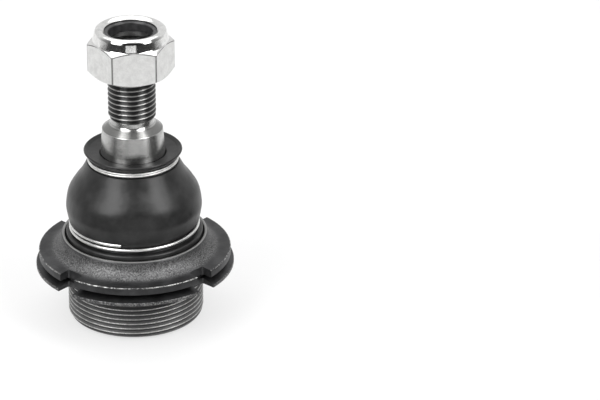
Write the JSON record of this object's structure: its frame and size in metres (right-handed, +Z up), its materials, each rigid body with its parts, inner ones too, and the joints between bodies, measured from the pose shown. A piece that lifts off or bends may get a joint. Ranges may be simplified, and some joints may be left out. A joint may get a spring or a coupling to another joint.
{
  "type": "suspension ball joint",
  "caption": "Screw-in suspension ball joint: notched flanged housing, rubber dust boot with wire rings, taper stud and nylon-insert lock nut.",
  "frame": {"origin": "middle of the housing's bottom face, on the axis of the stud and the barrel", "axes": "+Z up the stud's axis from the barrel to the nut; the housing's notches lie at 45 degrees to X and Y"},
  "size_m": [0.0584, 0.0584, 0.0909],
  "materials": {
    "dark_housing": "phosphated dark steel, fine grain, worn bright edges",
    "cover_steel": "pressed steel, dark",
    "spring_steel": "tempered spring steel",
    "bearing_plastic": "plain acetal",
    "stud_steel": "turned and ground",
    "boot_rubber": "satin moulded rubber",
    "ring_wire": "bright drawn wire",
    "nut_plating": "bright zinc plating",
    "insert_nylon": "dark nylon"
  },
  "bodies": {
    "base": {"housing": "dark_housing", "end_cover": "cover_steel", "preload_spring": "spring_steel", "upper_race": "bearing_plastic", "boot_base_ring": "ring_wire"},
    "seat": {"pressure_seat": "bearing_plastic"},
    "collar": {"dust_boot": "boot_rubber", "boot_collar_ring": "ring_wire"},
    "stud": {"ball_stud": "stud_steel"},
    "nut": {"lock_nut": "nut_plating", "nut_insert": "insert_nylon"}
  },
  "joints": [
    {"name": "lean_heading", "type": "hinge", "parent": "base", "child": "seat", "pos_m": [0, 0, 0.0195], "axis": [0, 0, 1], "continuous": true},
    {"name": "stud_lean", "type": "hinge", "parent": "seat", "child": "collar", "pos_m": [0, 0, 0.0195], "axis": [1, 0, 0], "range_deg": [-25, 25], "deforming": ["dust_boot"]},
    {"name": "stud_spin", "type": "hinge", "parent": "collar", "child": "stud", "pos_m": [0, 0, 0.0195], "axis": [0, 0, 1], "continuous": true},
    {"name": "nut_turn", "type": "hinge", "parent": "stud", "child": "nut", "pos_m": [0, 0, 0.0819], "axis": [0, 0, 1], "continuous": true}
  ]
}
